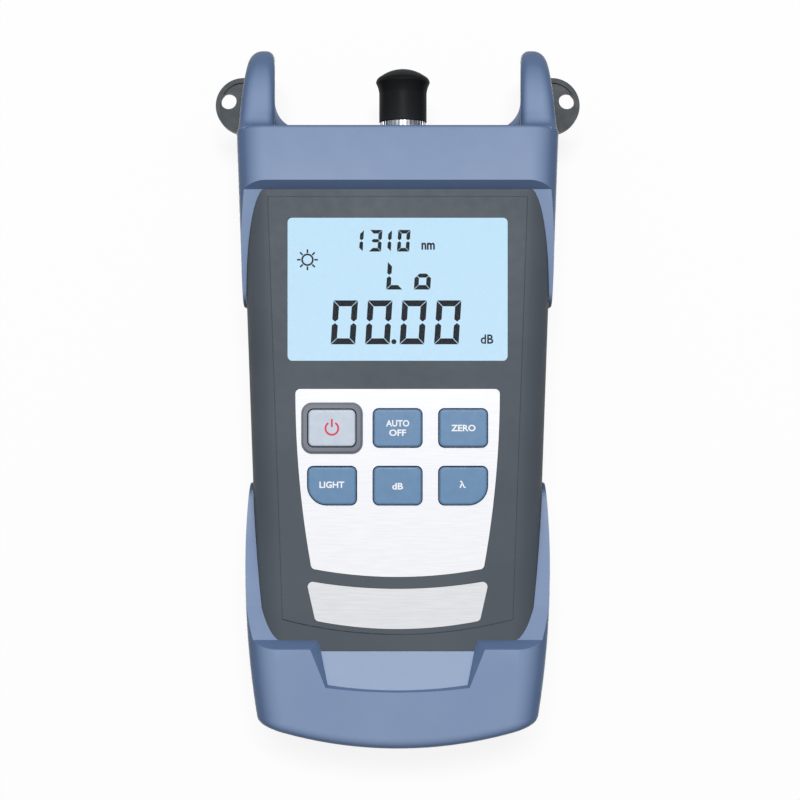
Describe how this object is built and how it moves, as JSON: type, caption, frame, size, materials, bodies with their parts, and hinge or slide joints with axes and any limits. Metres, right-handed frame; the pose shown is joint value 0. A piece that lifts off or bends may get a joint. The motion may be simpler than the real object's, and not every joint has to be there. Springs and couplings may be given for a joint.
{
  "type": "optical power meter",
  "caption": "Hand-held fibre optical power meter: rounded case in two soft guards, display, key panel, battery bay, and a capped fibre port between two horns with strap lugs.",
  "frame": {"origin": "middle of the meter's bounding box, on the plane that its back rests on", "axes": "+Z out of the display face, +Y along the meter towards the fibre port, +X to the right of the display"},
  "size_m": [0.101, 0.19, 0.048],
  "materials": {
    "case_grey": "fine matt moulded texture",
    "guard_blue": "soft matt overmould",
    "lug_dark": "matt",
    "window_clear": "clear polished",
    "lcd_cell": "pale blue cell with dark segments",
    "light_guide": "milky",
    "contact_rubber": "striped contact rubber",
    "frame_white": "matt",
    "panel_white": "printed film",
    "bezel_grey": "satin",
    "key_blue": "matt silicone",
    "key_pale": "matt silicone",
    "mat_grey": "matt silicone",
    "board_green": "solder mask",
    "chip_black": "moulded",
    "screw_steel": "plated",
    "cell_wrap": "shrink sleeve",
    "spring_steel": "nickel plated",
    "plated_brass": "nickel plated, turned",
    "can_metal": "plated can",
    "ceramic_white": "ground",
    "cap_black": "soft"
  },
  "bodies": {
    "case": {"front_cover": "case_grey", "rear_cover": "case_grey", "top_guard": "guard_blue", "bottom_guard": "guard_blue", "strap_lug_right": "lug_dark", "strap_lug_left": "lug_dark", "display_window": "window_clear", "lcd_panel": "lcd_cell", "backlight": "light_guide", "contact_strips": "contact_rubber", "display_frame": "frame_white", "keypad_panel": "panel_white", "name_plate": "panel_white", "power_key_bezel": "bezel_grey", "keypad_mat": "mat_grey", "main_board": "board_green", "board_screws": "screw_steel", "board_chips": "chip_black", "case_screws": "screw_steel", "battery_cell_1": "cell_wrap", "battery_cell_2": "cell_wrap", "battery_cell_3": "cell_wrap", "battery_plates": "spring_steel", "battery_springs": "spring_steel", "detector_tube": "plated_brass", "port_nut": "plated_brass", "photodiode": "can_metal", "detector_board": "board_green"},
    "power_key_body": {"power_key": "key_pale"},
    "auto_off_key_body": {"auto_off_key": "key_blue"},
    "zero_key_body": {"zero_key": "key_blue"},
    "light_key_body": {"light_key": "key_blue"},
    "db_key_body": {"db_key": "key_blue"},
    "wavelength_key_body": {"wavelength_key": "key_blue"},
    "battery_hatch": {"battery_door": "case_grey"},
    "adapter": {"fc_adapter": "plated_brass", "ferrule_sleeve": "ceramic_white"},
    "ring": {"adapter_ring": "plated_brass"},
    "cap": {"dust_cap": "cap_black"}
  },
  "joints": [
    {"name": "power_key_press", "type": "slide", "parent": "case", "child": "power_key_body", "axis": [0, 0, -1], "range_m": [0, 0.001], "stiffness_N_per_m": 800, "deforming": ["keypad_mat"]},
    {"name": "auto_off_key_press", "type": "slide", "parent": "case", "child": "auto_off_key_body", "axis": [0, 0, -1], "range_m": [0, 0.001], "stiffness_N_per_m": 800},
    {"name": "zero_key_press", "type": "slide", "parent": "case", "child": "zero_key_body", "axis": [0, 0, -1], "range_m": [0, 0.001], "stiffness_N_per_m": 800},
    {"name": "light_key_press", "type": "slide", "parent": "case", "child": "light_key_body", "axis": [0, 0, -1], "range_m": [0, 0.001], "stiffness_N_per_m": 800},
    {"name": "db_key_press", "type": "slide", "parent": "case", "child": "db_key_body", "axis": [0, 0, -1], "range_m": [0, 0.001], "stiffness_N_per_m": 800},
    {"name": "wavelength_key_press", "type": "slide", "parent": "case", "child": "wavelength_key_body", "axis": [0, 0, -1], "range_m": [0, 0.001], "stiffness_N_per_m": 800},
    {"name": "battery_door_hinge", "type": "hinge", "parent": "case", "child": "battery_hatch", "pos_m": [0, -0.05345, 0.0039], "axis": [-1, 0, 0], "range_deg": [0, 70]},
    {"name": "adapter_unscrew", "type": "slide", "parent": "case", "child": "adapter", "axis": [0, 1, 0], "range_m": [0, 0.0018]},
    {"name": "ring_turn", "type": "hinge", "parent": "adapter", "child": "ring", "pos_m": [0.00145, 0.0732, 0.024], "axis": [0, 1, 0], "range_deg": [0, 864]},
    {"name": "cap_pull", "type": "slide", "parent": "adapter", "child": "cap", "axis": [0, 1, 0], "range_m": [0, 0.03]}
  ],
  "couplings": [
    {"joint": "ring_turn", "follows": "adapter_unscrew", "rad_per_m": 8377.6}
  ]
}
